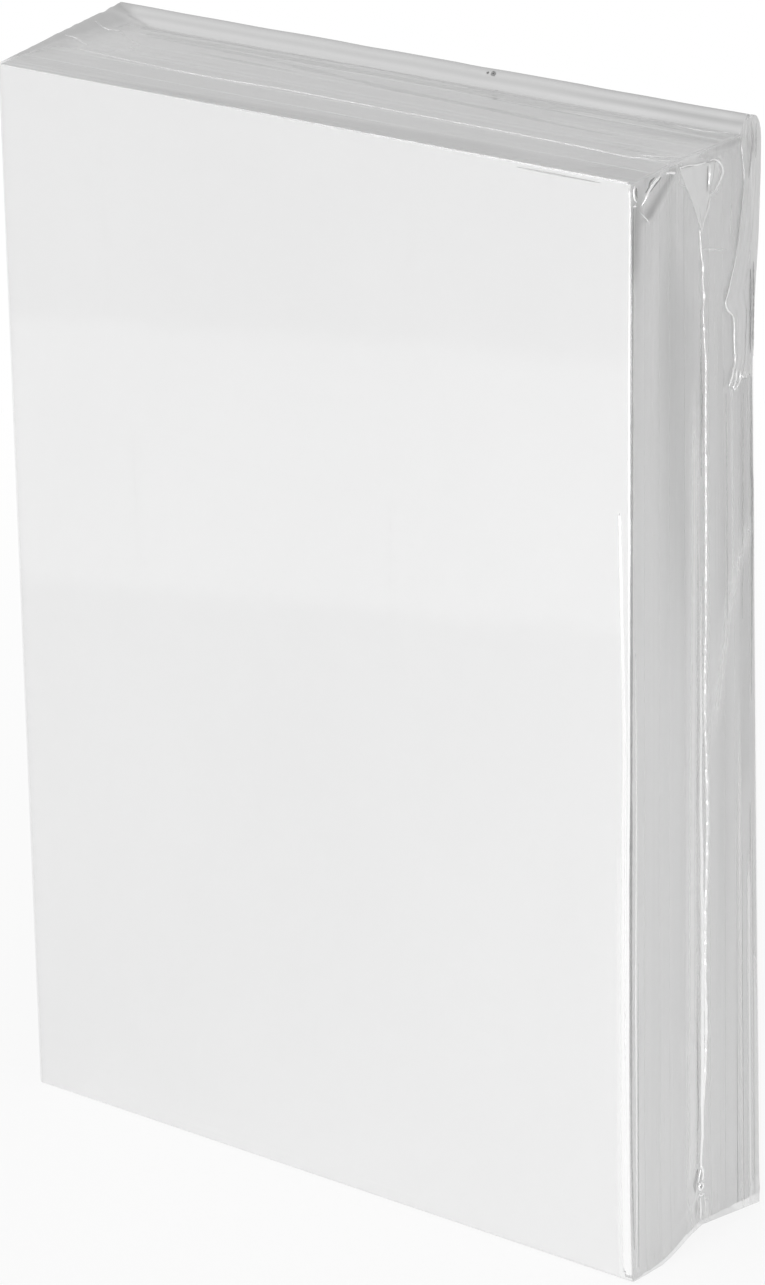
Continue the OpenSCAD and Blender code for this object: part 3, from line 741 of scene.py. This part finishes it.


# Small rolled folds on the right side: (points, radius, lift, roughness, seed, gathered share), see
# side_roll(). They are at the front top corner, round the ear, at the back top corner and on the flap.
# Those with a negative share are dark lines of painted shade beside the folds.
SIDE_ROLLS = [
    ([(10.9, 297.3), (7.9, 296.4), (5.2, 295.1), (3.9, 292.9), (2.9, 291.2)], 0.42, 0.5, 0.25, 41, 2.6),
    ([(8.4, 297.2), (6.0, 296.2), (4.0, 294.2)], 0.28, 0.4, 0.2, 42, -0.75),
    ([(11.4, 296.6), (8.9, 295.4), (6.5, 293.8)], 0.3, 0.4, 0.2, 40, -0.75),
    ([(13.4, 297.0), (15.3, 296.9), (17.3, 296.2)], 0.36, 0.4, 0.2, 43, 2.0),
    ([(0.9, 296.6), (0.5, 294.8), (0.9, 293.2), (2.1, 292.1)], 0.3, 0.2, 0.3, 44, 2.4),
    ([(1.6, 296.0), (1.6, 294.6), (1.9, 293.4)], 0.3, 0.2, 0.1, 39, -0.75),
    ([(0.3, 291.6), (1.6, 291.3)], 0.34, 0.3, 0.1, 38, 2.4),
    ([(2.7, 289.6), (4.4, 287.9), (6.5, 286.2)], 0.22, 0.2, 0.2, 45, 1.4),
    ([(31.6, 295.4), (31.6, 292.8), (31.3, 290.0)], 0.4, 0.4, 0.2, 46, 2.0),
    ([(30.8, 295.2), (30.7, 292.0), (30.6, 288.6)], 0.25, 0.4, 0.2, 37, -0.7),
    ([(31.9, 296.3), (33.6, 296.3), (36.4, 294.6), (37.4, 292.5), (36.4, 290.6), (33.9, 288.2),
      (31.2, 287.4)], 0.32, 0.3, 0.45, 47, 1.3),
    ([(32.2, 287.2), (30.1, 283.3), (27.9, 279.4)], 0.26, 0.3, 0.3, 36, 1.2),
    ([(19.5, 297.3), (23.3, 297.0), (27.0, 296.4), (30.6, 296.2)], 0.26, 0.35, 0.3, 35, 1.3),
    ([(28.6, 274.6), (34.0, 273.0), (38.9, 271.9)], 0.14, 0.1, 0.3, 48, 0.4),
    ([(48.6, 303.7), (49.3, 298.4), (48.6, 293.0), (47.8, 288.4)], 0.3, 0.75, 0.2, 33, -0.4),
    ([(50.9, 302.0), (50.9, 298.6), (50.8, 293.0)], 0.24, 0.75, 0.2, 32, -0.4),
    ([(43.1, 269.2), (41.3, 264.6), (39.8, 260.8), (38.3, 258.2), (39.5, 255.9), (41.9, 253.1),
      (42.1, 246.9), (42.5, 241.8), (41.6, 239.0)], 0.22, 0.4, 0.5, 29, 1.6),
    ([(41.7, 240.4), (41.0, 238.0), (39.8, 235.6)], 0.34, 0.5, 0.2, 28, 2.6),
    ([(42.9, 239.6), (42.7, 237.2), (41.6, 235.2), (42.4, 234.3), (43.6, 235.6)], 0.28, 0.6, 0.2, 27, 2.6),
    ([(44.8, 238.8), (44.6, 236.2), (43.4, 234.7)], 0.26, 0.6, 0.2, 30, 2.2),
    ([(45.2, 237.6), (46.3, 236.6), (47.3, 238.2)], 0.22, 0.6, 0.2, 31, 1.8),
    ([(49.1, 264.4), (49.2, 255.0), (49.2, 242.2)], 0.3, 0.55, 0.2, 84, -0.7),
    ([(50.4, 266.0), (50.5, 254.0), (50.4, 241.1)], 0.2, 0.55, 0.5, 83, -0.7),
]

# The gathers that lead into the knot at the foot of the side seam, in the same form; those with a
# negative share are painted shade between them
KNOT_ROLLS = [
    ([(28.6, 16.4), (28.9, 16.8), (29.2, 17.2)], 0.4, 0.15, 0.1, 77, -1.0),
    ([(27.8, 15.0), (28.6, 14.3), (29.6, 14.0), (30.5, 14.4)], 0.34, 0.35, 0.2, 82, 2.5),
    ([(29.5, 18.0), (30.0, 19.6), (29.4, 22.8)], 0.4, 0.3, 0.3, 75, 2.5),
    ([(28.0, 17.9), (28.1, 19.6), (28.9, 22.2)], 0.34, 0.3, 0.3, 76, 2.4),
    ([(28.8, 18.5), (28.9, 19.4), (29.0, 20.4)], 0.28, 0.1, 0.1, 78, -0.7),
    ([(27.0, 15.6), (26.5, 17.9), (27.0, 20.0), (27.7, 22.4)], 0.4, 0.05, 0.2, 79, -0.5),
    ([(29.1, 13.4), (29.3, 10.0), (29.2, 6.6)], 0.34, 0.2, 0.3, 72, 2.0),
    ([(30.9, 13.4), (31.5, 10.5), (31.2, 7.5)], 0.2, 0.1, 0.3, 73, 0.9),
    ([(27.6, 13.2), (27.5, 10.0), (27.4, 7.4)], 0.4, 0.05, 0.2, 74, -0.3),
]

# Small rolled folds on the top: (points, radius, seed, gathered share), see top_roll()
TOP_ROLLS = [
    ([(-103.0, 36.0), (-98.0, 35.0), (-94.0, 37.0)], 0.3, 61, 0.15),
    ([(-103.5, 24.0), (-99.0, 24.5), (-93.0, 22.0)], 0.25, 62, 0.15),
    ([(86.0, 43.4), (95.0, 42.6), (103.0, 44.6)], 0.22, 64, 0.1),
    ([(94.0, 17.6), (100.0, 19.4), (104.6, 22.4)], 0.26, 65, 0.3),
]

# Step along the strands and lines, and how far a strand's middle stands before the film's front
STRAND_STEP = 1.6
STRAND_OUT = 0.03


def side_rolls(rows):
    """The rolled folds of a table like SIDE_ROLLS."""
    return [side_roll(points, radius, lift, rough, seed, share=share)
            for points, radius, lift, rough, seed, share in rows]


def on_front(x, z):
    """Points of a strand on the film's front."""
    return np.column_stack([x, stack_y(0, z, x) - SKIN - STRAND_OUT, z])


def rolls(material):
    """Every small rolled fold at the corners, round the ear, on the flap and along the edges, with the
    strands and lines that paint highlights and shade along the edges and down the side.
    """
    strands = []
    for x_at, z_at, radii_at, share, seed in EDGE_STRANDS:
        z = np.arange(z_at[0], z_at[-1], -STRAND_STEP)
        x = np.interp(z, z_at[::-1], x_at[::-1])
        radii = along(radii_at, len(z)) * lumps(len(z), 0.08, seed)
        strands.append(strand(on_front(x, z), radii, (0.0, -1.0, 0.0), 0.35, 8, share))
    # A flat milky ribbon low down the front's right edge: a painted highlight
    z = np.arange(70.0, 1.0, -STRAND_STEP)
    highlight_band = on_front(np.full(len(z), 104.1), z)
    strands.append(strand(highlight_band, along([0.2, 0.9, 1.2, 1.2], len(z)), (0.0, -1.0, 0.0), 0.22, 20,
                          [0.1, 1.2, 2.3, 2.5]))
    for y_at, z_at, radii_at, share, seed in SIDE_PAINTED_LINES:
        z = np.arange(z_at[0], z_at[-1], -STRAND_STEP)
        line = np.column_stack([np.interp(z, z_at[::-1], y_at[::-1]), z])
        strands.append(side_roll(line, radii_at, 0.02, 0.2, seed, 0.4, STRAND_STEP, share, 6))
    # A thin milky strand along the front top edge: a painted highlight
    front = curve([(-60.0, 0.0), (20.0, 0.0), (80.0, 0.02), (104.4, 0.1)], 0.8)
    edge = np.column_stack([front[:, 0], front[:, 1], np.full(len(front), TOP_Z + 0.02)])
    radii = along([0.04, 0.18, 0.22, 0.3], len(front)) * lumps(len(front), 0.25, 53)
    strands.append(strand(edge, radii, (0.0, -0.7, 0.7), 0.8, 10, [0.1, 0.3, 0.4]))
    # A dark line just under the front top edge: painted shade
    edge_shade_x = np.arange(70.0, 97.0, 1.0)
    level = np.ones(len(edge_shade_x))
    edge_shade_line = np.column_stack([edge_shade_x, level * (-SKIN - STRAND_OUT), level * 296.1])
    strands.append(strand(edge_shade_line, 0.2 * taper(len(edge_shade_line)), (0.0, -1.0, 0.0), 0.4, 8, -0.5))
    crown = [top_roll(*row) for row in TOP_ROLLS]
    return joined("film_rolls_and_painted_lines", side_rolls(SIDE_ROLLS) + strands + crown, material)


def ring(centre, radius, thick, axis, uneven, seed, turns=28, sides=10):
    """A small closed ring of melted film round an axis."""
    axis = np.asarray(axis, float)
    side = np.cross(axis, (0.0, 0.0, 1.0)) if abs(axis[2]) < 0.9 else np.array([1.0, 0.0, 0.0])
    side /= np.linalg.norm(side)
    other = np.cross(axis, side)
    draws = np.random.default_rng(seed)
    bumps = 1 + uneven * draws.uniform(-1, 1, turns)
    points, faces = [], []
    for i in range(turns):
        a = 2 * np.pi * i / turns
        way = side * math.cos(a) + other * math.sin(a)
        here, there = i * sides, (i + 1) % turns * sides
        for s in range(sides):
            b = 2 * np.pi * s / sides
            points.append(np.asarray(centre) + way * (radius + thick * bumps[i] * math.cos(b))
                          + axis * thick * bumps[i] * math.sin(b))
            after = (s + 1) % sides
            faces.append((here + s, here + after, there + after, there + s))
    return np.array(points), faces


def knot(material):
    """The knot where the two seams were cut off, with its ring and the gathers that lead into it."""
    centre = on_side(28.9, KNOT_Z + 1.3, 0.4)
    eye = (*ring(centre, 0.95, 0.42, (1.0, 0.0, 0.0), 0.3, 71), 2.5)
    return joined("film_knot", [eye] + side_rolls(KNOT_ROLLS), material)


def vents(material):
    """Two tiny melted rims of the vent holes in the ridge over the back top edge, dark with painted shade.
    """
    parts = []
    for place_x, radius, thick, seed in ((VENT_X - 0.9, 0.22, 0.18, 79), (VENT_X + 1.0, 0.42, 0.34, 81)):
        centre = on_top(place_x, STACK_T - RIDGE_W * 0.42, 0.0)
        parts.append((*ring(centre, radius, thick, (0.0, -0.7071, 0.7071), 0.3, seed), -1.0))
    return joined("film_vents", parts, material)


def sheet_patch(left, right, rows, columns, height, thick, surface):
    """A closed doubled piece of film between two lines, swelling by height(row, column) off surface."""
    left, right = curve(left, 0.2), curve(right, 0.2)
    grid = []
    for r in np.linspace(0, 1, rows):
        a = left[int(round(r * (len(left) - 1)))]
        b = right[int(round(r * (len(right) - 1)))]
        grid.append([a + (b - a) * c for c in np.linspace(0, 1, columns)])
    grid = np.array(grid)
    r, c = np.meshgrid(np.linspace(0, 1, rows), np.linspace(0, 1, columns), indexing="ij")
    rim = np.clip(np.minimum.reduce([r, 1 - r, c, 1 - c]) * 8, 0, 1) ** 0.5
    swell = height(r, c)
    spots = surface(grid[..., 0], grid[..., 1])
    outer = spots + np.stack([swell + thick * rim, 0 * r, 0 * r], axis=-1)
    inner = spots + np.stack([swell - thick * 0.2, 0 * r, 0 * r], axis=-1)
    points = np.concatenate([outer.reshape(-1, 3), inner.reshape(-1, 3)])
    faces, base = [], rows * columns

    def at(i, j):
        return i * columns + j

    for i in range(rows - 1):
        for j in range(columns - 1):
            quad = (at(i, j), at(i + 1, j), at(i + 1, j + 1), at(i, j + 1))
            faces.append(quad)
            faces.append(tuple(q + base for q in reversed(quad)))
    border = [at(0, j) for j in range(columns)] + [at(i, columns - 1) for i in range(1, rows)]
    border += [at(rows - 1, j) for j in range(columns - 2, -1, -1)]
    border += [at(i, 0) for i in range(rows - 2, 0, -1)]
    smooth = [True] * len(faces) + [False] * len(border)
    for a, b in zip(border, border[1:] + border[:1]):
        faces.append((a, b, b + base, a + base))
    return points, faces, smooth


def ear(material):
    """The gathered ear: a doubled triangle of film that narrows down to the seam."""
    left = [(19.1, 297.0), (22.0, 291.5), (25.4, 285.6), (28.0, 278.8)]
    right = [(34.6, 295.6), (33.2, 290.5), (30.8, 284.6), (28.8, 278.8)]

    def height(r, c):
        pleats = 0.10 * np.sin(c * 9.5) + 0.05 * np.sin(c * 21 + 2)
        return (0.3 + pleats) * np.sin(np.pi * np.clip(c, 0.02, 0.98)) ** 0.5 * (1 - 0.5 * r)

    def surface(y, z):
        return on_side(y, z, 0.02)

    points, faces, smooth = sheet_patch(left, right, 60, 36, height, 0.14, surface)
    return make("film_ear", points, faces, material, smooth, np.full(len(points), 0.75))


def flap(material):
    """The loose doubled flap down the back right edge, with its torn lower end."""
    back = float(stack_y(1, SHEET_H))
    inner = [(-3.0, 303.4), (-4.5, 297.5), (-3.4, 288.0), (-5.0, 277.0), (-6.9, 269.2), (-8.7, 264.6),
             (-10.2, 260.8), (-11.6, 258.2), (-10.4, 255.9), (-8.0, 253.1), (-7.9, 246.9), (-7.5, 241.8),
             (-8.6, 238.3), (-9.8, 235.9)]
    outer = [(-0.2, 304.3), (2.4, 303.2), (3.9, 299.6), (4.0, 291.5), (3.7, 283.8), (3.0, 270.9),
             (2.0, 260.6), (1.3, 250.1), (0.7, 236.2)]
    inner, outer = np.add(inner, (back, 0.0)), np.add(outer, (back, 0.0))

    def surface(y, z):
        spot = on_side(np.minimum(y, back - 0.3), np.minimum(z, SHEET_H - 0.5), 0.0)
        beyond = np.clip((z - SHEET_H) / 6.0, 0.0, 1.0)
        spot[..., 0] = spot[..., 0] - 0.1 * beyond
        spot[..., 1] = y
        spot[..., 2] = z
        return spot

    def height(r, c):
        swell = 0.22 * np.sin(np.pi * c) ** 0.8 * (0.4 + 0.6 * np.sin(np.pi * np.clip(r, 0, 1)))
        pleats = 0.10 * np.sin(c * 14 + 2.0 * r) * (0.3 + r) + 0.07 * np.sin(c * 31 + 5 * r)
        return 0.02 + 0.10 * np.clip(1.6 * r, 0, 1) + swell + pleats * np.sin(np.pi * c) ** 0.5

    points, faces, smooth = sheet_patch(inner, outer, 150, 34, height, 0.16, surface)
    torn = np.clip((238.5 - points[:, 2]) / 4.0, 0.0, 1.0)
    rag = np.sin(points[:, 1] * 3.1) + 0.6 * np.sin(points[:, 1] * 7.3 + 1)
    points[:, 2] += torn * rag * 0.7
    beyond = np.clip((points[:, 1] - back + 0.6) / 1.2, 0.0, 1.0)
    return make("film_flap", points, faces, material, smooth, 0.4 + 0.8 * beyond, 0.16 * beyond)


def paper_sheets(material):
    """All the sheets, each a thin closed leaf that bends with the stack and sits a little out of line."""
    air = {LIFTS - 4: 0.3, LIFTS - 3: 0.3, LIFTS - 1: 0.3}
    levels = np.array([0.0, 0.5, 1.5, 4, 9, 18, 32, 50, 72, 100, 150, 220, 300]) / 300
    gaps = []
    for i in range(SHEETS):
        lift, place_in = divmod(i, LIFT)
        if lift in air and place_in == round(air[lift] * LIFT):
            gaps.append((i, AIR_GAP))
    wide = np.zeros(SHEETS + 1)
    for i, width in gaps:
        wide[i] = width

    def borders(z, x):
        """Front and back of every sheet at one height, with the gaps taken out of the sheets' own share."""
        low, high = stack_y(0, z, x), stack_y(1, z, x)
        closing = np.where(wide > 0.1, np.clip(1 - z / AIR_GAP_H, 0, 1), 1.0)
        open_air = wide * closing
        thick = (high - low - open_air.sum()) / SHEETS
        start = low + np.arange(SHEETS) * thick + np.cumsum(open_air)[:SHEETS]
        return start, start + thick * 0.985

    slide = random.uniform(-1, 1, SHEETS)
    slide = np.convolve(slide, [0.25, 0.5, 0.25], mode="same") + 0.5 * random.uniform(-1, 1, SHEETS) ** 3
    lean = random.normal(0, 0.05, SHEETS)
    lift_of = np.arange(SHEETS) // LIFT
    jog_x = JOG * np.sin(np.radians(lift_of * 137.5)) * 0.3 + 0.03 * slide
    jog_z = JOG * (1 - np.cos(np.radians(lift_of * 97.0))) / 2 * 0.4 + np.abs(0.02 * slide)
    low = RISE * np.arange(SHEETS) / SHEETS * 0.98 + jog_z
    columns = 3
    points = np.zeros((SHEETS, len(levels), columns, 2, 3))
    reach = SIDE_X - PINCH_LEN
    for j, level in enumerate(levels):
        z = low + level * SHEET_H
        for c in range(columns):
            front, back = borders(level * SHEET_H, (-SHEET_W / 2, reach, SHEET_W / 2)[c])
            middle = (front + back) / 2
            x = (-SHEET_W / 2 + jog_x, np.full(SHEETS, reach), SHEET_W / 2 + jog_x)[c]
            x = np.clip(x + (lean * (level - 0.5) if c != 1 else 0), -SIDE_X + GAP, SIDE_X - GAP)
            pulled = pinch(x, middle)
            lifted = np.maximum(z, pulled + z * np.clip(1 - pulled / PULL_REACH, 0, 1)) if c == 2 else z
            lifted = np.where(z > PULL_REACH, z, np.minimum(lifted, PULL_REACH))
            for side, y in enumerate((front, back)):
                points[:, j, c, side] = np.stack([x, y, lifted], axis=1)
    at = np.arange(SHEETS * len(levels) * columns * 2).reshape(SHEETS, len(levels), columns, 2)
    faces = []

    def add(a, b, c, d):
        faces.append(np.stack([a.ravel(), b.ravel(), c.ravel(), d.ravel()], axis=1))

    add(at[:, :-1, :-1, 0], at[:, :-1, 1:, 0], at[:, 1:, 1:, 0], at[:, 1:, :-1, 0])
    add(at[:, :-1, 1:, 1], at[:, :-1, :-1, 1], at[:, 1:, :-1, 1], at[:, 1:, 1:, 1])
    add(at[:, :-1, -1, 0], at[:, :-1, -1, 1], at[:, 1:, -1, 1], at[:, 1:, -1, 0])
    add(at[:, :-1, 0, 1], at[:, :-1, 0, 0], at[:, 1:, 0, 0], at[:, 1:, 0, 1])
    add(at[:, -1, :-1, 0], at[:, -1, 1:, 0], at[:, -1, 1:, 1], at[:, -1, :-1, 1])
    add(at[:, 0, 1:, 0], at[:, 0, :-1, 0], at[:, 0, :-1, 1], at[:, 0, 1:, 1])
    return make("paper_sheets", points.reshape(-1, 3), np.concatenate(faces), material, smooth=False)


def floor():
    """The round floor that the ream stands on."""
    radius, turns, sunk = 4.0, 64, 0.0002
    angles = [2 * math.pi * i / turns for i in range(turns)]
    points = [(radius * math.cos(a), radius * math.sin(a), -sunk) for a in angles]
    mesh = bpy.data.meshes.new("floor")
    mesh.from_pydata(points, [], [tuple(range(turns))])
    mesh.materials.append(floor_material())
    new_object("floor", mesh)


def world():
    """Even grey light all round, and a pale sky where the eye or a reflection looks past the floor."""
    n = Nodes(bpy.data.worlds.new("studio"))
    strength = n.spread(seen_directly(n), 0.0, 1.0, AMBIENT, 1.0)
    sky = n.add("ShaderNodeBackground", [("Strength", strength)], Color=(0.8, 0.8, 0.8, 1.0))
    n.add("ShaderNodeOutputWorld", [("Surface", sky.outputs[0])])
    bpy.context.scene.world = n.owner


def soft_box(name, way, centre, distance, width, height, power):
    """A soft box in the direction way from a centre, facing it."""
    light = bpy.data.lights.new(name, "AREA")
    light.shape = "RECTANGLE"
    light.size = width
    light.size_y = height
    light.energy = power
    lamp = new_object(name, light)
    way = Vector(way).normalized()
    lamp.location = Vector(centre) + way * distance
    lamp.rotation_mode = "QUATERNION"
    lamp.rotation_quaternion = (-way).to_track_quat("-Z", "Y")
    lamp.visible_camera = False


def camera():
    """The photograph's own view of the ream."""
    data = bpy.data.cameras.new("camera")
    data.sensor_width = 36.0
    data.lens = LENS
    view = new_object("camera", data)
    right = Vector((0.7745, 0.6323, -0.0171)).normalized()
    forward = Vector((-0.5993, 0.7249, -0.3397))
    forward = (forward - forward.dot(right) * right).normalized()
    up = right.cross(forward)
    turn = Matrix((right, up, -forward)).transposed().to_4x4()
    view.matrix_world = Matrix.Translation(Vector(AIM) - forward * CAMERA_AWAY) @ turn
    bpy.context.scene.camera = view


# The camera as fitted to the photograph: its lens in millimetres, the point that it looks at and its
# distance from there, in metres
LENS = 156.13
AIM = (0.00119, 0.00007, 0.14805)
CAMERA_AWAY = 1.4932

# Strength of the even light that comes from all round
AMBIENT = 0.40

camera()
world()
floor()
soft_box("key", (-0.45, -1.0, 0.22), (0, 0, 0.15), 3.0, 2.4, 1.6, 47.4)
soft_box("foot", (-0.5, -1.0, 0.1), (-0.04, 0, 0.03), 0.42, 0.4, 0.1, 0.07)
soft_box("low", (1.0, -0.42, 0.12), (0, 0, 0.02), 0.62, 0.3, 0.12, 0.85)
soft_box("over", (0.05, 0.1, 1.0), (0, 0, 0.3), 1.5, 0.9, 0.9, 4.3)

paper = paper_sheets(paper_material())
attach(paper, "root")
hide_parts("paper_stack")

clear = film_material("film", 0.03, 0.06, 0.25, 0.8)
thick = film_material("gathered_film", 0.05, 0.15, 0.1, 1.0)
for piece in (film_skin(clear), side_bead(thick), top_bead(thick), rolls(thick), knot(thick), vents(thick),
              ear(clear), flap(clear)):
    piece.visible_shadow = False
    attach(piece, "root")
    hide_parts("shrink_film")

bpy.context.scene.view_settings.view_transform = "Standard"
